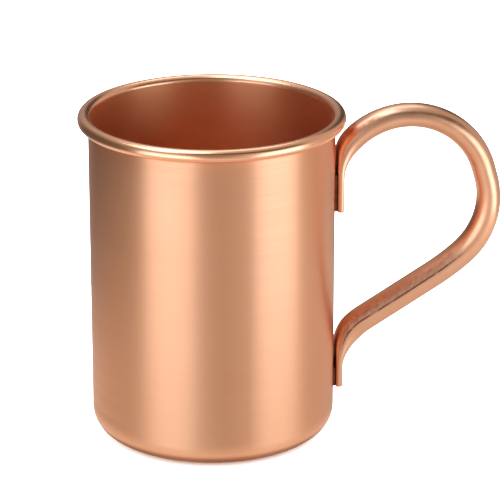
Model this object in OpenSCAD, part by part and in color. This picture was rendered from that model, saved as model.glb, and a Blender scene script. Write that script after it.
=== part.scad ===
// Copper mug: one deep-drawn cup with a rolled rim, and a bent tube handle whose
// pressed-flat ends are brazed to the wall. The cup's axis is Z, its base stands on
// z = 0, and the handle lies in the XZ plane on the +X side. All sizes are in mm.

/* [Cup] */
// Outside diameter of the straight wall
cup_d = 75; // [60:0.5:95]
// Height from the base to the top of the rim
cup_h = 102; // [84:0.5:125]
// Thickness of the copper sheet
sheet_t = 0.8; // [0.6:0.1:1.2]
// Outside radius where the wall turns into the base
base_corner_r = 7; // [4:0.5:9]
// Diameter of the rolled rim
rim_d = 4; // [3:0.1:5]

/* [Handle tube] */
// Diameter of the handle's round tube
tube_d = 8.2; // [6.5:0.1:10]
// Thickness of the tube's wall
tube_t = 1.2; // [0.8:0.1:1.5]
// How much thinner the tube is round the loop, where bending made it oval
oval_loss = 0.9; // [0:0.1:1.5]
// Length over which the round tube turns into the flat end
press_len = 14; // [10:0.5:18]

/* [Handle shape] */
// Length of the upper flat end below its bend
upper_flat_len = 12; // [9:0.1:18]
// Length of the lower flat end below its bend
lower_flat_len = 6.5; // [5:0.1:8]
// Radius of the corners of the flat ends, seen from the front
tip_corner_r = 0.8; // [0.6:0.1:1.6]
// Rounding of the edge at the tips, across the thickness
tip_edge_r = 0.6; // [0.2:0.1:0.8]
// Fall from the rim's underside to the upper bend, after one tube's width
upper_drop = 8; // [7:0.5:12]
// Height of the lower bend above the base
lower_rise = 18.8; // [15.5:0.1:24]
// Radius of the upper bend, to the middle of the tube
upper_bend_r = 14.3; // [11:0.1:18]
// Radius of the lower bend, to the middle of the tube
lower_bend_r = 17; // [13:0.5:21]
// Slope where the upper bend runs into the loop, in degrees above level
shoulder_slope = 46; // [40:1:52]
// Straight length at the outermost part of the loop
grip_len = 3.3; // [0:0.1:6]
// Lean of that straight from upright, in degrees
grip_lean = 16; // [5:1:25]
// Slope of the straight arm, in degrees below level
arm_slope = 33; // [28:1:40]
// Turn left to the slack curve between the loop and the arm, in degrees
slack_turn = 9; // [4:1:14]
// Radius of that slack curve
slack_r = 73; // [50:1:90]

/* [Joints] */
// Gap that the braze fills between the wall and a flat end
braze_gap = 0.3; // [0.2:0.05:0.4]
// Width of a braze
braze_w = 9.6; // [6:0.2:10]
// How far a braze stops short of the flat end's tip
braze_inset = 0.4; // [0.3:0.1:1.5]

/* [Hidden] */

cup_r = cup_d / 2;
inside_r = cup_r - sheet_t;
rim_r = rim_d / 2;
copper = [0.80, 0.50, 0.36];
handle_copper = [0.76, 0.46, 0.32];
braze_copper = [0.45, 0.24, 0.14];

// The flat ends: two tube walls pressed together, as wide as the tube's own girth allows
flat_t = 2 * tube_t;
flat_w = flat_t + PI * (tube_d - 2 * tube_t) / 2;
flat_face_x = cup_r + braze_gap;
end_x = flat_face_x + flat_t / 2;
upper_bend_z = cup_h - rim_d - tube_d - upper_drop;
upper_tip_z = upper_bend_z - upper_flat_len;
lower_tip_z = lower_rise - lower_flat_len;

// Headings along the handle, in degrees: 90 is up the wall, 0 is straight out
shoulder_a = shoulder_slope;
grip_a = grip_lean - 90;
arm_a = arm_slope - 180;
loop_end_a = arm_a + slack_turn;

// The loop's radius and the arm's length follow from where the two flat ends sit:
// every run of the handle added together must come back to the wall, and fall from
// the upper bend to the lower one. Those two sums are solved for the two lengths.
fixed_x = upper_bend_r * (1 - sin(shoulder_a)) + grip_len * cos(grip_a)
    + slack_r * (sin(loop_end_a) - sin(arm_a)) - lower_bend_r * (1 + sin(arm_a));
fixed_z = upper_bend_r * cos(shoulder_a) + grip_len * sin(grip_a)
    + slack_r * (cos(arm_a) - cos(loop_end_a)) + lower_bend_r * cos(arm_a);
turn_x = sin(shoulder_a) - sin(loop_end_a);
turn_z = cos(loop_end_a) - cos(shoulder_a);
want_x = -fixed_x;
want_z = lower_rise - upper_bend_z - fixed_z;
solve_by = turn_x * sin(arm_a) - turn_z * cos(arm_a);
loop_r = (want_x * sin(arm_a) - want_z * cos(arm_a)) / solve_by;
arm_len = (turn_x * want_z - turn_z * want_x) / solve_by;

// The runs of the handle, from the upper tip to the lower one:
// [radius (0 for a straight), length (0 for a bend), heading in, heading out, steps]
runs = [
    [0, tip_corner_r, 90, 90, 5],
    [0, upper_flat_len - tip_corner_r, 90, 90, 4],
    [upper_bend_r, 0, 90, shoulder_a, 11],
    [loop_r, 0, shoulder_a, grip_a, 20],
    [0, grip_len, grip_a, grip_a, 1],
    [loop_r, 0, grip_a, loop_end_a, 11],
    [slack_r, 0, loop_end_a, arm_a, 3],
    [0, arm_len, arm_a, arm_a, 6],
    [lower_bend_r, 0, arm_a, -90, 14],
    [0, lower_flat_len - tip_corner_r, -90, -90, 3],
    [0, tip_corner_r, -90, -90, 5],
];

function is_bend(run) = run[0] > 0;
function turn(run) = run[3] - run[2];
function run_len(run) = is_bend(run) ? run[0] * abs(turn(run)) * PI / 180 : run[1];

// Where a point a part of the way along a run lies, from the run's own start
function bend_step(run, a) = run[0] * sign(turn(run)) * [sin(a) - sin(run[2]), cos(run[2]) - cos(a)];
function run_step(run, part) = is_bend(run)
    ? bend_step(run, run[2] + part * turn(run))
    : part * run[1] * [cos(run[2]), sin(run[2])];

// A station is [x, z, heading, distance along the handle]
function run_stations(run, at, from, first) = [
    for (i = [first:run[4]])
        let (part = i / run[4], p = at + run_step(run, part))
            [p[0], p[1], run[2] + part * turn(run), from + part * run_len(run)]
];
function walk(i, at, from) = i == len(runs) ? [] : concat(
    run_stations(runs[i], at, from, i == 0 ? 0 : 1),
    walk(i + 1, at + run_step(runs[i], 1), from + run_len(runs[i]))
);
stations = walk(0, [end_x, upper_tip_z], 0);
handle_len = stations[len(stations) - 1][3];

// How far the tube has opened from flat (0) to round (1) at distance s
function eased(t) = let (u = min(1, max(0, t))) u * u * (3 - 2 * u);
press_lead = press_len / 8;
function opened(s) =
    eased((s - upper_flat_len + press_lead) / press_len)
    * eased((handle_len - s - lower_flat_len) / press_len);

// Thickness in the handle's plane, thinner round the loop than along the arm
arm_start_s = upper_flat_len + run_len(runs[2]) + run_len(runs[3]) + run_len(runs[4]);
round_again_len = 25;
function open_t(s) = tube_d - oval_loss * (1 - eased((s - arm_start_s) / round_again_len));
function thick(s) = flat_t + (open_t(s) - flat_t) * opened(s);
function wide(s) = flat_w + (2 * tube_d - open_t(s) - flat_w) * opened(s);
least_flat = 0.3;
function flat_half(s) = least_flat + ((flat_w - flat_t) / 2 - least_flat) * (1 - opened(s));

// How much a rounded edge of radius r takes off at distance s from the nearer tip
function rounded_off(s, r) = let (d = min(s, handle_len - s)) d < r ? r - sqrt(r * r - (r - d) * (r - d)) : 0;

// Half-thickness on the loop's side, and towards the wall, whose face it never passes
function loop_half(st) = thick(st[3]) / 2 - rounded_off(st[3], tip_edge_r);
function wall_half(st) = let (lean = max(0.3, abs(sin(st[2]))))
    min(loop_half(st), max(0, st[0] - flat_face_x) / lean);

// The wall is to the left of the rising upper end and to the right of the falling lower one
function wall_side(st) = st[3] < handle_len / 2 ? 1 : -1;

// One ring of points round a station, as two halves that meet in flats, inset by the
// tube's wall for the bore
half_steps = 11;
function half_ring(st, inset, side) = [
    for (i = [0:half_steps])
        let (
            a = side * (180 * i / half_steps - 90),
            w = wide(st[3]) / 2 - rounded_off(st[3], tip_corner_r) - inset,
            f = min(flat_half(st[3]), w - tip_edge_r / 2),
            half = sin(a) * wall_side(st) > 0 ? wall_half(st) : loop_half(st),
            n = (half - inset) * sin(a)
        )
            [st[0] - n * sin(st[2]), side * (f + (w - f) * cos(a)), st[1] + n * cos(st[2])]
];
function ring(st, inset) = concat(half_ring(st, inset, 1), half_ring(st, inset, -1));

// A closed skin over rings of equal size
module skin(rings) {
    n = len(rings[0]);
    last = len(rings) - 1;
    points = [for (r = rings) each r];
    sides = [
        for (k = [0:last - 1], i = [0:n - 1])
            [k * n + i, (k + 1) * n + i, (k + 1) * n + (i + 1) % n, k * n + (i + 1) % n]
    ];
    start = [for (i = [0:n - 1]) i];
    finish = [for (i = [n - 1:-1:0]) last * n + i];
    polyhedron(points, concat([start], sides, [finish]), convexity = 6);
}

// The cup's sheet in section: base, corner, wall and the hollow roll of the rim
module sheet_section() {
    corner_x = cup_r - base_corner_r;
    square([corner_x, sheet_t]);
    translate([corner_x, base_corner_r])
        intersection() {
            difference() {
                circle(r = base_corner_r, $fn = 96);
                circle(r = base_corner_r - sheet_t, $fn = 96);
            }
            translate([0, -base_corner_r]) square(base_corner_r);
        }
    translate([inside_r, base_corner_r]) square([sheet_t, cup_h - rim_r - base_corner_r]);
    translate([inside_r + rim_r, cup_h - rim_r])
        difference() {
            circle(r = rim_r, $fn = 96);
            circle(r = rim_r - sheet_t, $fn = 96);
        }
}

module cup_body() {
    color(copper) rotate_extrude($fn = 128) sheet_section();
}

// The bore runs as far into each end as the tube is open
module handle() {
    bore_clear = 0.35;
    open_stations = [
        for (st = stations)
            if (wall_half(st) > tube_t + bore_clear) st
    ];
    color(handle_copper)
        difference() {
            skin([for (st = stations) ring(st, 0)]);
            skin([for (st = open_stations) ring(st, tube_t)]);
        }
}

// Braze between the round wall and the flat end, from z_low up to z_high
module braze(z_low, z_high) {
    bite = 1;
    color(braze_copper)
        difference() {
            translate([cup_r - bite, -braze_w / 2, z_low])
                cube([bite + braze_gap, braze_w, z_high - z_low]);
            translate([0, 0, z_low - bite]) cylinder(r = cup_r, h = z_high - z_low + 2 * bite, $fn = 256);
        }
}

module upper_braze() {
    braze(upper_tip_z + braze_inset, upper_bend_z);
}

module lower_braze() {
    braze(lower_tip_z + braze_inset, lower_rise);
}

cup_body();
handle();
upper_braze();
lower_braze();
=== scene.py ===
import math

import bpy
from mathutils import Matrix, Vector


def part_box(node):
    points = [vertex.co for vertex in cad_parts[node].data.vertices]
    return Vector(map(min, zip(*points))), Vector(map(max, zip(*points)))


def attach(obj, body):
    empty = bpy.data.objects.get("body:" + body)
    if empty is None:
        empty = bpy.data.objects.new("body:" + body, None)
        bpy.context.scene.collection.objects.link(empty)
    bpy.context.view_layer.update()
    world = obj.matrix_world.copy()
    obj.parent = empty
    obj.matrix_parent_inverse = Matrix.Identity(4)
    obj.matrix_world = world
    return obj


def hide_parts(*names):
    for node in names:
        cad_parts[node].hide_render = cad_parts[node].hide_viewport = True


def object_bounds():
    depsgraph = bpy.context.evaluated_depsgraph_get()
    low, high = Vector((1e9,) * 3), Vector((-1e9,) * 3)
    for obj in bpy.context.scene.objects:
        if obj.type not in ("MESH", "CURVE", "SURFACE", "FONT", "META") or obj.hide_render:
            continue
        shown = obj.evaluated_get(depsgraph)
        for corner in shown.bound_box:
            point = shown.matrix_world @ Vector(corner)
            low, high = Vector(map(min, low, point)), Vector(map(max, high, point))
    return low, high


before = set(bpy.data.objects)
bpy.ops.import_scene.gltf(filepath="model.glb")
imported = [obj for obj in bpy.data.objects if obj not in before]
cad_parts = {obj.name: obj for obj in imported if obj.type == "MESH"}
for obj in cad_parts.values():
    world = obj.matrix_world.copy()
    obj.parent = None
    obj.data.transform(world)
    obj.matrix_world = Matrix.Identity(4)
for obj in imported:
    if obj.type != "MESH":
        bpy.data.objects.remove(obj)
cadBox = [list(corner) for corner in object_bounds()]
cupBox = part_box("cup_body")
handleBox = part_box("handle")
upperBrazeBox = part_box("upper_braze")
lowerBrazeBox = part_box("lower_braze")
hair = 1e-5     # smaller than any real size here
print("frame loaded")


def meshObject(name, points, faces, material):
    mesh = bpy.data.meshes.new(name)
    mesh.from_pydata(points, [], faces)
    mesh.validate()
    mesh.update()
    mesh.shade_smooth()
    mesh.materials.append(material)
    piece = bpy.data.objects.new(name, mesh)
    bpy.context.scene.collection.objects.link(piece)
    return piece


def newMaterial(name):
    material = bpy.data.materials.new(name)
    material.use_nodes = True
    tree = material.node_tree
    return material, tree, tree.nodes["Principled BSDF"]


# A material that only glows, for what the copper mirrors
def glowMaterial(name):
    material = bpy.data.materials.new(name)
    material.use_nodes = True
    tree = material.node_tree
    tree.nodes.clear()
    glow = addNode(tree, "ShaderNodeEmission")
    output = addNode(tree, "ShaderNodeOutputMaterial")
    tree.links.new(glow.outputs[0], output.inputs["Surface"])
    return material, tree, glow


def addNode(tree, kind, **settings):
    node = tree.nodes.new(kind)
    for key, value in settings.items():
        setattr(node, key, value)
    return node


def objectPlaces(tree):
    return addNode(tree, "ShaderNodeTexCoord").outputs["Object"]


def splitPlaces(tree, places):
    split = addNode(tree, "ShaderNodeSeparateXYZ")
    tree.links.new(places, split.inputs[0])
    return split.outputs


def mathNode(tree, operation, a, b=None):
    node = addNode(tree, "ShaderNodeMath", operation=operation)
    for socket, value in zip(node.inputs, (a, b)):
        if value is None:
            continue
        if isinstance(value, (int, float)):
            socket.default_value = value
        else:
            tree.links.new(value, socket)
    return node.outputs[0]


def times(tree, *values):
    product = values[0]
    for value in values[1:]:
        product = mathNode(tree, "MULTIPLY", product, value)
    return product


def noiseNode(tree, vector, scale, detail, roughness=0.5):
    node = addNode(tree, "ShaderNodeTexNoise")
    node.inputs["Scale"].default_value = scale
    node.inputs["Detail"].default_value = detail
    node.inputs["Roughness"].default_value = roughness
    tree.links.new(vector, node.inputs["Vector"])
    return node.outputs["Fac"]


def spread(tree, value, low, high, toLow, toHigh):
    node = addNode(tree, "ShaderNodeMapRange")
    for name, number in zip(("From Min", "From Max", "To Min", "To Max"), (low, high, toLow, toHigh)):
        node.inputs[name].default_value = number
    tree.links.new(value, node.inputs["Value"])
    return node.outputs["Result"]


# Soft blotches, from 0 to 1
def mottle(tree, places, scale, detail):
    return spread(tree, noiseNode(tree, places, scale, detail), 0.35, 0.65, 0, 1)


# A grain that swings either side of a middle value
def swinging(tree, grain, middle, swing):
    return spread(tree, grain, 0.3, 0.7, middle - swing, middle + swing)


def mixColours(tree, share, a, b):
    node = addNode(tree, "ShaderNodeMix", data_type="RGBA")
    tree.links.new(share, node.inputs["Factor"])
    for name, value in (("A", a), ("B", b)):
        socket = [s for s in node.inputs if s.name == name and s.type == "RGBA"][0]
        if isinstance(value, tuple):
            socket.default_value = (*value, 1)
        else:
            tree.links.new(value, socket)
    return [s for s in node.outputs if s.type == "RGBA"][0]


def addBump(tree, shader, height, strength, distance):
    bump = addNode(tree, "ShaderNodeBump")
    bump.inputs["Strength"].default_value = strength
    bump.inputs["Distance"].default_value = distance
    tree.links.new(height, bump.inputs["Height"])
    tree.links.new(bump.outputs[0], shader.inputs["Normal"])


cup = {
    "sheet": 0.0008,
    "rimRadius": 0.002,
    "cornerRadius": 0.007,
    "seamGap": 0.00012,      # between the roll's cut edge and the wall
    "seamDepth": 0.0005,
    "around": 256,
    "wallSteps": 24,
    "cornerSteps": 14,
    "rimSteps": 44,
    "baseSteps": 12,
}

copper = {
    "colour": (0.95, 0.46, 0.255),
    "warmShare": (0.99, 0.965, 0.94),
    "toneScale": 28,
    "stainAndCreviceShade": (0.14, 0.04, 0.02),       # heat stain left by brazing, darkened further as painted shade in the crevices at the flat ends
    "stainAndShadeFade": 0.0012,
    "roughness": 0.47,
    "cornerRoughness": 0.2,            # the corner into the base is buffed brighter
    "cornerHeights": (0.5, 1.2),       # where that ends, in corner radii above the base
    "anisotropy": 0.9,
    "rimRoughness": 0.26,
    "rimAnisotropy": 0.2,
    "insideColour": (0.93, 0.41, 0.19),
    "insideRoughness": 0.4,
    "insideAnisotropy": 0.6,
    "linesAround": 9,                  # polishing lines: long round the cup, close up the wall
    "linesUp": 1400,
    "lineRoughness": 0.03,
    "lineStrength": 0.25,
    "lineDepth": 0.00001,
}


# Lines left by the polishing lathe: they run round the cup, close together up the wall
# and in rings on the base
def turnedLines(tree, places):
    x, y, z = splitPlaces(tree, places)
    squares = mathNode(tree, "ADD", times(tree, x, x), times(tree, y, y))
    radius = mathNode(tree, "SQRT", squares)
    joined = addNode(tree, "ShaderNodeCombineXYZ")
    tree.links.new(times(tree, x, copper["linesAround"]), joined.inputs[0])
    tree.links.new(times(tree, y, copper["linesAround"]), joined.inputs[1])
    upAndOut = mathNode(tree, "ADD", z, radius)
    tree.links.new(times(tree, upAndOut, copper["linesUp"]), joined.inputs[2])
    return noiseNode(tree, joined.outputs[0], 1, 3, 0.6)


# 1 on the wall behind the two flat ends, 0 a little way outside them: where heat stain and painted
# crevice shade go
def behindFlats(tree, places):
    x, y, z = splitPlaces(tree, places)
    halfWidth, fade = upperBrazeBox[1].y, copper["stainAndShadeFade"]
    across = spread(tree, mathNode(tree, "ABSOLUTE", y), halfWidth, halfWidth + fade, 1, 0)
    onHandleSide = mathNode(tree, "GREATER_THAN", x, cupBox[1].x / 2)
    upTheWall = []
    for box in (upperBrazeBox, lowerBrazeBox):
        middle, half = (box[0].z + box[1].z) / 2, (box[1].z - box[0].z) / 2
        away = mathNode(tree, "ABSOLUTE", mathNode(tree, "SUBTRACT", z, middle))
        upTheWall.append(spread(tree, away, half, half + fade, 1, 0))
    return times(tree, across, onHandleSide, mathNode(tree, "MAXIMUM", *upTheWall))


def copperSheet(name, mainColour, roughness, anisotropy):
    material, tree, shader = newMaterial(name)
    places = objectPlaces(tree)
    lines = turnedLines(tree, places)
    warmer = tuple(channel * share for channel, share in zip(mainColour, copper["warmShare"]))
    colour = mixColours(tree, mottle(tree, places, copper["toneScale"], 3), mainColour, warmer)
    # Heat stain and painted crevice shade on the wall behind the flat ends
    colour = mixColours(tree, behindFlats(tree, places), colour, copper["stainAndCreviceShade"])
    tree.links.new(colour, shader.inputs["Base Color"])
    shader.inputs["Metallic"].default_value = 1
    rough = swinging(tree, lines, roughness, copper["lineRoughness"])
    buffed = min(0, copper["cornerRoughness"] - roughness)
    low, high = (share * cup["cornerRadius"] for share in copper["cornerHeights"])
    nearBase = spread(tree, splitPlaces(tree, places)[2], low, high, buffed, 0)
    tree.links.new(mathNode(tree, "ADD", rough, nearBase), shader.inputs["Roughness"])
    shader.inputs["Anisotropic"].default_value = anisotropy
    shader.inputs["Anisotropic Rotation"].default_value = 0.25     # light spreads up and down
    tangent = addNode(tree, "ShaderNodeTangent", direction_type="RADIAL", axis="Z")
    tree.links.new(tangent.outputs[0], shader.inputs["Tangent"])
    addBump(tree, shader, lines, copper["lineStrength"], copper["lineDepth"])
    return material


tubeCopper = {
    "colour": (0.82, 0.405, 0.235),
    "warmColour": (0.80, 0.378, 0.207),
    "dullColour": (0.44, 0.18, 0.10),    # scuffed patches
    "markColour": (0.20, 0.08, 0.05),
    "toneScale": 60,
    "grainScale": 320,
    "roughness": 0.33,
    "grainRoughness": 0.05,
    "markAround": 0.54,                  # where the drawn line lies, in turns from the +Y side
    "markHalfWidth": 0.016,
    "markWander": 0.012,
    "wanderScale": 90,
    "markStart": 0.62,                   # shares of the handle's length
    "markEnd": 0.90,
    "markFade": 0.03,
    "markBreakScale": 420,
    "markAtBreaks": 0.45,                # how much of the line is left where it breaks
    "scuffWidth": 0.16,
    "scuffEdge": 0.01,
    "scuffScale": 760,
    "scuffLeast": 0.4,                   # how much a scuff shows between its blotches
    "scuffShare": 0.85,
    "scuffRoughness": 0.5,
    "scuffDepth": 0.2,                   # beside the mark's own depth
    "grainDepth": 0.25,
    "topScuffAlong": (0.135, 0.215),     # a smaller scuffed patch where the loop begins
    "topScuffAround": (0.35, 0.43),
    "topScuffFade": 0.02,
    "pitStrength": 0.6,
    "pitDepth": 0.00006,
    "stainAndShadeLength": 0.085,                # heat stain and painted crevice shade at each end, a share of the length
}


# A drawn line with small pits runs along the arm, a scuffed band lies above it, and there is
# a smaller scuffed patch near the upper end. Both ends carry heat stain and painted crevice shade
# towards the wall.
def copperTube():
    look = tubeCopper
    material, tree, shader = newMaterial("satin_copper_tube")
    places = objectPlaces(tree)
    along, around, towardsWall = (
        addNode(tree, "ShaderNodeAttribute", attribute_name=name).outputs["Fac"]
        for name in ("along", "around", "towards_wall"))

    # 1 between two values, falling to 0 inside them
    def between(value, ends, fade):
        rising = spread(tree, value, ends[0], ends[0] + fade, 0, 1)
        return times(tree, rising, spread(tree, value, ends[1] - fade, ends[1], 1, 0))

    markEnds = (look["markStart"], look["markEnd"] + look["markFade"])
    onArm = between(along, markEnds, look["markFade"])
    drift = noiseNode(tree, places, look["wanderScale"], 2)
    wander = spread(tree, drift, 0, 1, -look["markWander"], look["markWander"])
    offset = mathNode(tree, "ADD", mathNode(tree, "SUBTRACT", around, look["markAround"]), wander)
    width = look["markHalfWidth"]
    line = spread(tree, mathNode(tree, "ABSOLUTE", offset), width * 0.3, width, 1, 0)
    breaks = noiseNode(tree, places, look["markBreakScale"], 3)
    broken = spread(tree, breaks, 0.36, 0.5, look["markAtBreaks"], 1)
    mark = times(tree, line, broken, onArm)

    bandIn = spread(tree, offset, 0, look["scuffEdge"], 0, 1)
    bandOut = spread(tree, offset, look["scuffWidth"] * 0.6, look["scuffWidth"], 1, 0)
    band = times(tree, bandIn, bandOut, onArm)
    topFade = look["topScuffFade"]
    topPatch = times(tree, between(along, look["topScuffAlong"], topFade),
                     between(around, look["topScuffAround"], topFade))
    speckle = noiseNode(tree, places, look["scuffScale"], 5, 0.7)
    blotches = spread(tree, speckle, 0.36, 0.62, look["scuffLeast"], 1)
    scuff = times(tree, mathNode(tree, "MAXIMUM", band, topPatch), blotches)

    stainAndShadeEnd, stainAndShadeFull = look["stainAndShadeLength"], look["stainAndShadeLength"] * 0.6
    upperEnd = spread(tree, along, stainAndShadeFull, stainAndShadeEnd, 1, 0)
    lowerEnd = spread(tree, along, 1 - stainAndShadeEnd, 1 - stainAndShadeFull, 0, 1)
    stainAndCreviceShade = times(tree, mathNode(tree, "MAXIMUM", upperEnd, lowerEnd), towardsWall)

    tone = mottle(tree, places, look["toneScale"], 4)
    colour = mixColours(tree, tone, look["colour"], look["warmColour"])
    colour = mixColours(tree, times(tree, scuff, look["scuffShare"]), colour, look["dullColour"])
    colour = mixColours(tree, mark, colour, look["markColour"])
    # Heat stain and painted crevice shade on the wall side of each flat end
    colour = mixColours(tree, stainAndCreviceShade, colour, copper["stainAndCreviceShade"])
    tree.links.new(colour, shader.inputs["Base Color"])
    shader.inputs["Metallic"].default_value = 1
    grain = noiseNode(tree, places, look["grainScale"], 4)
    rough = swinging(tree, grain, look["roughness"], look["grainRoughness"])
    duller = times(tree, scuff, look["scuffRoughness"] - look["roughness"])
    tree.links.new(mathNode(tree, "ADD", rough, duller), shader.inputs["Roughness"])
    worn = mathNode(tree, "ADD", mark, times(tree, scuff, look["scuffDepth"]))
    height = mathNode(tree, "SUBTRACT", times(tree, grain, look["grainDepth"]), worn)
    addBump(tree, shader, height, look["pitStrength"], look["pitDepth"])
    return material


def arc(centreR, centreZ, radius, start, end, steps):
    angles = [math.radians(start + (end - start) * i / steps) for i in range(steps + 1)]
    return [(centreR + radius * math.cos(a), centreZ + radius * math.sin(a)) for a in angles]


def straight(start, end, steps):
    return [
        (start[0] + (end[0] - start[0]) * i / steps, start[1] + (end[1] - start[1]) * i / steps)
        for i in range(steps + 1)
    ]


# The sheet's outline from the middle of the underside, up the outside, round the rolled
# rim and down the inside to the middle of the floor
def cupOutline():
    sheet, rimRadius, corner = cup["sheet"], cup["rimRadius"], cup["cornerRadius"]
    top = cupBox[1].z
    inside = cupBox[1].x - 2 * rimRadius
    outside = inside + sheet
    rimR, rimZ = inside + rimRadius, top - rimRadius
    cutR = outside + cup["seamGap"]
    cutAngle = 180 + math.degrees(math.acos((rimR - cutR) / rimRadius))
    cutZ = rimZ + rimRadius * math.sin(math.radians(cutAngle))
    points = straight((0, 0), (outside - corner, 0), cup["baseSteps"])
    points += arc(outside - corner, corner, corner, -90, 0, cup["cornerSteps"])
    points += straight((outside, corner), (outside, cutZ), cup["wallSteps"])
    points += [(outside, cutZ + cup["seamDepth"]), (cutR, cutZ + cup["seamDepth"])]
    points += arc(rimR, rimZ, rimRadius, cutAngle - 360, 180, cup["rimSteps"])
    points += straight((inside, rimZ), (inside, corner), cup["wallSteps"])
    points += arc(outside - corner, corner, corner - sheet, 0, -90, cup["cornerSteps"])
    points += straight((outside - corner, sheet), (0, sheet), cup["baseSteps"])
    outline = [points[0]]
    for point in points[1:]:
        if math.dist(point, outline[-1]) > hair / 100:     # the runs share their end points
            outline.append(point)
    return outline


def lathe(name, outline, around, material):
    rings = outline[1:-1]
    points = [(0, 0, outline[0][1])]
    for radius, z in rings:
        for i in range(around):
            turn = 2 * math.pi * i / around
            points.append((radius * math.cos(turn), radius * math.sin(turn), z))
    points.append((0, 0, outline[-1][1]))
    last = len(points) - 1
    faces = []
    for i in range(around):
        nextI = (i + 1) % around
        faces.append((0, 1 + nextI, 1 + i))
        for k in range(len(rings) - 1):
            low, high = 1 + k * around, 1 + (k + 1) * around
            faces.append((low + i, low + nextI, high + nextI, high + i))
        high = 1 + (len(rings) - 1) * around
        faces.append((high + i, high + nextI, last))
    return meshObject(name, points, faces, material)


# The wall is brushed, the roll is polished and the inside is left as drawn
def finishFaces(shell):
    rollSlot, insideSlot = 1, 2
    sheet, rimRadius, corner = cup["sheet"], cup["rimRadius"], cup["cornerRadius"]
    outsideR = cupBox[1].x - 2 * rimRadius + sheet
    insideR, cornerR = outsideR - sheet, outsideR - corner
    rollBottom = cupBox[1].z - 2 * rimRadius
    rollMiddle = rollBottom + rimRadius
    wallTop = rollBottom + 1.2 * rimRadius     # past the seam, which is cut up beside the roll
    uprightEnough = 0.1
    for face in shell.data.polygons:
        radius, z = face.center.xy.length, face.center.z
        fromCorner = math.dist((radius, z), (cornerR, corner))
        onFloor = abs(z - sheet) < hair and radius < cornerR
        onInnerCorner = radius > cornerR and z < corner and fromCorner < corner - sheet / 2
        onInnerWall = radius < insideR + hair and corner < z < rollMiddle
        onOuterWall = radius < outsideR + hair and abs(face.normal.z) < uprightEnough
        underRoll = z < wallTop
        if onFloor or onInnerCorner or onInnerWall:
            face.material_index = insideSlot
        elif z > rollBottom and not (onOuterWall and underRoll):
            face.material_index = rollSlot


def makeCup():
    wall = copperSheet("satin_copper_wall", copper["colour"], copper["roughness"], copper["anisotropy"])
    roll = copperSheet("polished_copper_rim", copper["colour"], copper["rimRoughness"],
                       copper["rimAnisotropy"])
    inside = copperSheet("inside_copper", copper["insideColour"], copper["insideRoughness"],
                         copper["insideAnisotropy"])
    shell = lathe("drawn_cup", cupOutline(), cup["around"], wall)
    shell.data.materials.append(roll)
    shell.data.materials.append(inside)
    finishFaces(shell)
    return shell


cupShell = makeCup()
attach(cupShell, "root")
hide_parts("cup_body")
print("cup made")


handle = {
    "tube": 0.0082,
    "tubeWall": 0.0012,
    "ovalLoss": 0.0009,        # how much thinner the tube is round the loop
    "pressLength": 0.014,      # over which the tube turns flat
    "pressLead": 0.125,        # share of that which lies in the straight flat end
    "upperFlat": 0.012,
    "lowerFlat": 0.0065,
    "tipCorner": 0.0008,
    "tipEdge": 0.0006,
    "upperBend": 0.0143,
    "lowerBend": 0.017,
    "shoulderSlope": 46,
    "gripLength": 0.0033,
    "gripLean": 16,
    "armSlope": 33,
    "slackTurn": 9,
    "slackRadius": 0.073,
    "openAgain": 0.025,        # past the loop, where the tube is round again
    "leastFlat": 0.00005,
    "crown": 0.35,             # share of each half turn that crosses the flat
    "ringSteps": 56,
    "tipSteps": 12,
    "step": 0.0009,
}


def eased(t):
    t = min(1, max(0, t))
    return t * t * (3 - 2 * t)


def sine(degrees):
    return math.sin(math.radians(degrees))


def cosine(degrees):
    return math.cos(math.radians(degrees))


# The runs of the handle: (radius or 0, straight length, heading in, heading out). The loop's
# radius and the arm's length are solved so that both flat ends sit on the wall.
def handleRuns():
    h = handle
    shoulder, grip, arm = h["shoulderSlope"], h["gripLean"] - 90, h["armSlope"] - 180
    loopEnd = arm + h["slackTurn"]
    fixedX = h["upperBend"] * (1 - sine(shoulder)) + h["gripLength"] * cosine(grip)
    fixedX += h["slackRadius"] * (sine(loopEnd) - sine(arm)) - h["lowerBend"] * (1 + sine(arm))
    fixedZ = h["upperBend"] * cosine(shoulder) + h["gripLength"] * sine(grip)
    fixedZ += h["slackRadius"] * (cosine(arm) - cosine(loopEnd)) + h["lowerBend"] * cosine(arm)
    turnX, turnZ = sine(shoulder) - sine(loopEnd), cosine(loopEnd) - cosine(shoulder)
    wantX, wantZ = -fixedX, lowerBrazeBox[1].z - upperBrazeBox[1].z - fixedZ
    solveBy = turnX * sine(arm) - turnZ * cosine(arm)
    loop = (wantX * sine(arm) - wantZ * cosine(arm)) / solveBy
    armLength = (turnX * wantZ - turnZ * wantX) / solveBy
    return [
        (0, h["tipCorner"], 90, 90),
        (0, h["upperFlat"] - h["tipCorner"], 90, 90),
        (h["upperBend"], 0, 90, shoulder),
        (loop, 0, shoulder, grip),
        (0, h["gripLength"], grip, grip),
        (loop, 0, grip, loopEnd),
        (h["slackRadius"], 0, loopEnd, arm),
        (0, armLength, arm, arm),
        (h["lowerBend"], 0, arm, -90),
        (0, h["lowerFlat"] - h["tipCorner"], -90, -90),
        (0, h["tipCorner"], -90, -90),
    ]


def runLength(run):
    radius, length, headingIn, headingOut = run
    return radius * math.radians(abs(headingOut - headingIn)) if radius else length


def alongRun(run, part):
    radius, length, headingIn, headingOut = run
    if not radius:
        return part * length * cosine(headingIn), part * length * sine(headingIn)
    heading = headingIn + part * (headingOut - headingIn)
    side = 1 if headingOut > headingIn else -1
    return (radius * side * (sine(heading) - sine(headingIn)),
            radius * side * (cosine(headingIn) - cosine(heading)))


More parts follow.
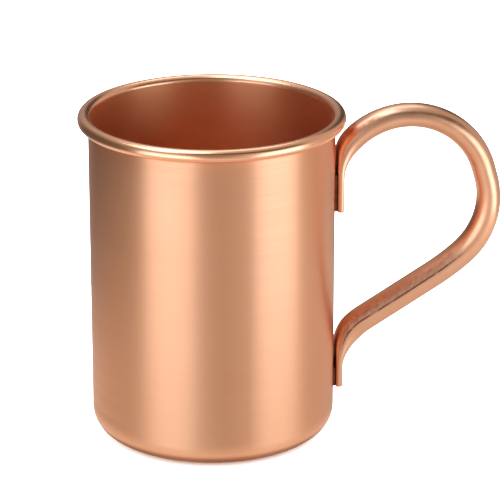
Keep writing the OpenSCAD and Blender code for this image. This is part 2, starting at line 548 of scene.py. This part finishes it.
# Stations (x, z, heading, distance), closer together where the tips are rounded
def handleStations():
    runs = handleRuns()
    x, z = handleBox[0].x + handle["tubeWall"], upperBrazeBox[1].z - handle["upperFlat"]
    stations, walked = [], 0
    for number, run in enumerate(runs):
        length = runLength(run)
        tip = number in (0, len(runs) - 1)
        steps = handle["tipSteps"] if tip else max(2, round(length / handle["step"]))
        for i in range(0 if number == 0 else 1, steps + 1):
            part = i / steps
            if number == 0:
                part = 1 - cosine(90 * part)
            elif tip:
                part = sine(90 * part)
            dx, dz = alongRun(run, part)
            heading = run[2] + part * (run[3] - run[2])
            stations.append((x + dx, z + dz, heading, walked + part * length))
        dx, dz = alongRun(run, 1)
        x, z, walked = x + dx, z + dz, walked + length
    return stations


# One ring of points round the tube: round where it is open, long and flat where it is pressed.
# Its wall side never passes the face that the braze meets.
def tubeRing(station, length, armStart):
    h = handle
    x, z, heading, s = station
    opened = eased((s - h["upperFlat"] + h["pressLead"] * h["pressLength"]) / h["pressLength"])
    opened *= eased((length - s - h["lowerFlat"]) / h["pressLength"])
    flatThick = 2 * h["tubeWall"]
    flatWide = flatThick + math.pi * (h["tube"] - flatThick) / 2
    oval = h["tube"] - h["ovalLoss"] * (1 - eased((s - armStart) / h["openAgain"]))
    thick = flatThick + (oval - flatThick) * opened
    wide = flatWide + (2 * h["tube"] - oval - flatWide) * opened
    fromTip = min(s, length - s)

    def roundedOff(radius):
        return radius - math.sqrt(radius ** 2 - (radius - fromTip) ** 2) if fromTip < radius else 0

    leastLean = 0.3
    loopHalf = thick / 2 - roundedOff(h["tipEdge"])
    wallHalf = min(loopHalf, max(0, x - handleBox[0].x) / max(leastLean, abs(sine(heading))))
    wallSide = 1 if s < length / 2 else -1
    w = wide / 2 - roundedOff(h["tipCorner"])
    flat = h["leastFlat"] + ((flatWide - flatThick) / 2 - h["leastFlat"]) * (1 - opened)
    flat = min(flat, w - h["tipEdge"] / 2)
    ring = []
    for i in range(h["ringSteps"]):
        turn = 2 * math.pi * i / h["ringSteps"]
        across, up = math.cos(turn), math.sin(turn)
        half = wallHalf if up * wallSide > 0 else loopHalf
        side = flat * min(1, max(-1, across / h["crown"])) + (w - flat) * across
        n = half * up
        ring.append((x - n * sine(heading), side, z + n * cosine(heading)))
    return ring


# The tube also carries, point by point, what its material needs: the share of the length, the
# share of a turn, and how far it faces the wall
def handleTube():
    runs = handleRuns()
    stations = handleStations()
    length = stations[-1][3]
    armStart = handle["upperFlat"] + sum(runLength(run) for run in runs[2:5])
    rings = [tubeRing(station, length, armStart) for station in stations]
    count = handle["ringSteps"]
    points = [point for ring in rings for point in ring]
    faces = [tuple(range(count))]
    for k in range(len(rings) - 1):
        low, high = k * count, (k + 1) * count
        for i in range(count):
            nextI = (i + 1) % count
            faces.append((low + nextI, low + i, high + i, high + nextI))
    last = (len(rings) - 1) * count
    faces.append(tuple(last + i for i in range(count - 1, -1, -1)))
    piece = meshObject("bent_tube_handle", points, faces, copperTube())
    along = [station[3] / length for station in stations for i in range(count)]
    around = [i / count for station in stations for i in range(count)]
    facing = []
    for station in stations:
        side = 1 if station[3] < length / 2 else -1
        facing += [max(0, side * math.sin(2 * math.pi * i / count)) ** 2 for i in range(count)]
    for name, values in (("along", along), ("around", around), ("towards_wall", facing)):
        piece.data.attributes.new(name, "FLOAT", "POINT").data.foreach_set("value", values)
    return piece


handlePiece = handleTube()
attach(handlePiece, "root")
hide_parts("handle")
print("handle made")


# The braze's dark tones are partly heat-darkened braze and partly painted shade of the crevice between
# the flat ends and the wall
braze = {
    "toneScale": 700,
    "grainScale": 900,
    "darkColour": (0.15, 0.05, 0.025),
    "lightColour": (0.23, 0.085, 0.045),
    "roughness": 0.55,
    "grainRoughness": 0.1,
}


def brazeMetal():
    material, tree, shader = newMaterial("heat_darkened_braze_and_painted_shade")
    places = objectPlaces(tree)
    tone = mottle(tree, places, braze["toneScale"], 4)
    colour = mixColours(tree, tone, braze["darkColour"], braze["lightColour"])
    tree.links.new(colour, shader.inputs["Base Color"])
    shader.inputs["Metallic"].default_value = 1
    grain = noiseNode(tree, places, braze["grainScale"], 3)
    rough = swinging(tree, grain, braze["roughness"], braze["grainRoughness"])
    tree.links.new(rough, shader.inputs["Roughness"])
    return material


brazed = brazeMetal()
for name in ("upper_braze", "lower_braze"):
    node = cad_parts[name]
    node.data.materials.clear()
    node.data.materials.append(brazed)
print("brazes finished")


studio = {
    "cameraSide": -5,                     # degrees from square on, towards -X
    "floorColour": (0.93, 0.93, 0.92),
    "floorTint": (0.91, 0.91, 0.90),
    "floorRoughness": 0.9,
    "floorShine": 0.1,
    "floorSize": 6.0,
    "floorDrop": 0.0003,                  # just under the base
    "worldLevel": 3.5,
    "lampColour": (0.57, 0.77, 0.98),
}


# The floor is seen from above and clear from below
def makeFloor():
    material, tree, shader = newMaterial("pale_floor")
    tone = noiseNode(tree, objectPlaces(tree), 3, 2)
    colour = mixColours(tree, tone, studio["floorColour"], studio["floorTint"])
    tree.links.new(colour, shader.inputs["Base Color"])
    shader.inputs["Roughness"].default_value = studio["floorRoughness"]
    shader.inputs["Specular IOR Level"].default_value = studio["floorShine"]
    clear = addNode(tree, "ShaderNodeBsdfTransparent")
    oneSided = addNode(tree, "ShaderNodeMixShader")
    under = addNode(tree, "ShaderNodeNewGeometry").outputs["Backfacing"]
    output = [node for node in tree.nodes if node.type == "OUTPUT_MATERIAL"][0]
    tree.links.new(under, oneSided.inputs[0])
    tree.links.new(shader.outputs["BSDF"], oneSided.inputs[1])
    tree.links.new(clear.outputs[0], oneSided.inputs[2])
    tree.links.new(oneSided.outputs[0], output.inputs["Surface"])
    size = studio["floorSize"]
    z = cadBox[0][2] - studio["floorDrop"]
    points = [(-size, -size, z), (size, -size, z), (size, size, z), (-size, size, z)]
    floor = meshObject("studio_floor", points, [(0, 1, 2, 3)], material)
    floor.visible_glossy = False
    floor.visible_shadow = False


def makeWorld():
    world = bpy.data.worlds.new("studio_white")
    world.use_nodes = True
    background = [n for n in world.node_tree.nodes if n.type == "BACKGROUND"][0]
    background.inputs["Color"].default_value = (1, 1, 1, 1)
    background.inputs["Strength"].default_value = studio["worldLevel"]
    bpy.context.scene.world = world
    world.cycles_visibility.glossy = False


def onlyInReflections(card):
    card.visible_camera = False
    card.visible_diffuse = False
    card.visible_shadow = False


# The direction at an azimuth, where 0 is the -Y side, and an elevation
def aimedAt(azimuth, elevation):
    a, e = math.radians(azimuth), math.radians(elevation)
    return Vector((math.sin(a) * math.cos(e), -math.cos(a) * math.cos(e), math.sin(e)))


# How far one vector lies along a fixed direction, turned into 0 to 1
def facingShare(tree, vector, direction, low, high):
    dot = addNode(tree, "ShaderNodeVectorMath", operation="DOT_PRODUCT")
    tree.links.new(vector, dot.inputs[0])
    dot.inputs[1].default_value = direction
    return spread(tree, dot.outputs["Value"], low, high, 0, 1)


floorCard = {
    "radius": 0.22,
    "drop": 0.0006,                   # under the base, below the floor that is seen
    "thickness": 0.001,
    # under: painted contact shadow beneath the cup, warmed by the copper's reflected light
    "under": (0.32, 0.21, 0.16),
    "near": (0.82, 0.79, 0.76),
    "outside": (0.70, 0.69, 0.68),
    "outsideFar": (0.95, 0.93, 0.91),
    "left": (1.35, 1.3, 1.24),
    "leftFar": (0.50, 0.48, 0.47),
    "leftSide": -112,                 # degrees round from the camera's side
    "leftEdge": (0.02, 0.12),         # metres that way, where its tone starts and is full
    "around": 64,
    "aroundCup": 0.0385,
    "fade": 0.003,
    "nearRing": (0.0405, 0.0505),     # distances from the cup's axis where each tone turns
    "farRing": (0.11, 0.17),
    "leftFarRing": (0.08, 0.19),
}


# The near floor as the cup mirrors it: a glowing disc that only reflections see, with a painted contact
# shadow, dimmer and warmer, under the cup itself
def makeFloorCard():
    card = floorCard
    material, tree, glow = glowMaterial("floor_card_glow")
    places = objectPlaces(tree)
    distance = addNode(tree, "ShaderNodeVectorMath", operation="LENGTH")
    tree.links.new(places, distance.inputs[0])

    def past(near, far):
        return spread(tree, distance.outputs["Value"], near, far, 0, 1)

    left = mixColours(tree, past(*card["leftFarRing"]), card["left"], card["leftFar"])
    right = mixColours(tree, past(*card["farRing"]), card["outside"], card["outsideFar"])
    leftwards = aimedAt(studio["cameraSide"] + card["leftSide"], 0)
    leftShare = facingShare(tree, places, leftwards, *card["leftEdge"])
    outside = mixColours(tree, leftShare, right, left)
    colour = mixColours(tree, past(*card["nearRing"]), card["near"], outside)
    besideCup = past(card["aroundCup"] - card["fade"], card["aroundCup"])
    # Painted contact shadow under the cup
    tree.links.new(mixColours(tree, besideCup, card["under"], colour), glow.inputs["Color"])
    z = cadBox[0][2] - card["drop"]
    outline = [(0, z), (card["radius"], z), (0, z - card["thickness"])]
    disc = lathe("floor_card", outline, card["around"], material)
    onlyInReflections(disc)


# Directions are degrees round from the camera's side and degrees up, and each is followed by
# the cosines of the angles from it where its tone starts and is full
tent = {
    "radius": 3.0,
    "around": 64,
    "upSteps": 32,
    "level": 0.62,
    "high": 0.6,
    "parts": (
        (-108, -8, 0.45, 0.85, 0.13),     # the dark side, and its level
        (0, 20, 0.85, 0.97, 0.3),         # behind the camera
        (180, -5, 0.7, 0.95, 0.3),        # behind the mug
    ),
    "gapLevel": 0.06,                     # dark gaps between the panels
    "gapEdges": (0.955, 0.99),
    "gaps": ((-8, 58), (12, 57), (33, 51), (55, 45), (77, 39), (155, 26), (165, 12)),
}


# The white tent round the set
def makeTent():
    material, tree, glow = glowMaterial("tent_glow")
    direction = addNode(tree, "ShaderNodeVectorMath", operation="NORMALIZE")
    tree.links.new(objectPlaces(tree), direction.inputs[0])
    outwards = direction.outputs["Vector"]

    def grey(level):
        return (level, level, level)

    overhead = facingShare(tree, outwards, aimedAt(0, 90), 0.1, 0.8)
    colour = mixColours(tree, overhead, grey(tent["level"]), grey(tent["high"]))
    patches = list(tent["parts"])
    patches += [(side, up, *tent["gapEdges"], tent["gapLevel"]) for side, up in tent["gaps"]]
    for side, up, start, full, level in patches:
        share = facingShare(tree, outwards, aimedAt(studio["cameraSide"] + side, up), start, full)
        colour = mixColours(tree, share, colour, grey(level))
    tree.links.new(colour, glow.inputs["Color"])
    outline = arc(0, 0, tent["radius"], -90, 90, tent["upSteps"])
    shell = lathe("light_tent", outline, tent["around"], material)
    onlyInReflections(shell)


# Degrees round from the camera's side, degrees up, distance, width, height and level
lamps = {
    "left_softbox": (-37, -18, 0.75, 0.68, 1.15, 2.55),
    "right_softbox": (61, -18, 0.75, 0.60, 1.15, 3.1),
    "top_softbox": (-80, 71, 0.8, 0.5, 0.5, 4.6),
    "back_softbox": (180, 62, 0.9, 0.6, 0.3, 2.4),
}


def softbox(name, side, elevation, distance, width, height, level):
    centre = Vector(((cupBox[0].x + cupBox[1].x) / 2, 0, (cupBox[0].z + cupBox[1].z) / 2))
    back = aimedAt(studio["cameraSide"] + side, elevation)
    light = bpy.data.lights.new(name, "AREA")
    light.shape = "RECTANGLE"
    light.size, light.size_y = width, height
    light.energy = level * math.pi * width * height
    light.color = studio["lampColour"]
    lamp = bpy.data.objects.new(name, light)
    lamp.location = centre + back * distance
    lamp.rotation_mode = "QUATERNION"
    lamp.rotation_quaternion = (-back).to_track_quat("-Z", "Y")
    lamp.visible_camera = False
    bpy.context.scene.collection.objects.link(lamp)


camera = {
    "elevation": 19.97,
    "distance": 0.88923,
    "lens": 208.1,
    "sensor": 36,
    "aimShift": (-0.01256, 0.0, 0.00545),     # from the middle of the model's box
    "nearest": 0.05,
    "farthest": 50,
}


def makeCamera():
    centre = (Vector(cadBox[0]) + Vector(cadBox[1])) / 2
    aim = Vector((centre.x, 0, centre.z)) + Vector(camera["aimShift"])
    back = aimedAt(studio["cameraSide"], camera["elevation"])
    data = bpy.data.cameras.new("studio_camera")
    data.lens = camera["lens"]
    data.sensor_width = camera["sensor"]
    data.clip_start, data.clip_end = camera["nearest"], camera["farthest"]
    holder = bpy.data.objects.new("studio_camera", data)
    holder.location = aim + back * camera["distance"]
    holder.rotation_mode = "QUATERNION"
    holder.rotation_quaternion = (-back).to_track_quat("-Z", "Y")
    bpy.context.scene.collection.objects.link(holder)
    bpy.context.scene.camera = holder


makeFloor()
makeFloorCard()
makeTent()
makeWorld()
for name, place in lamps.items():
    softbox(name, *place)
makeCamera()
bpy.context.scene.view_settings.view_transform = "Standard"
print("studio set")
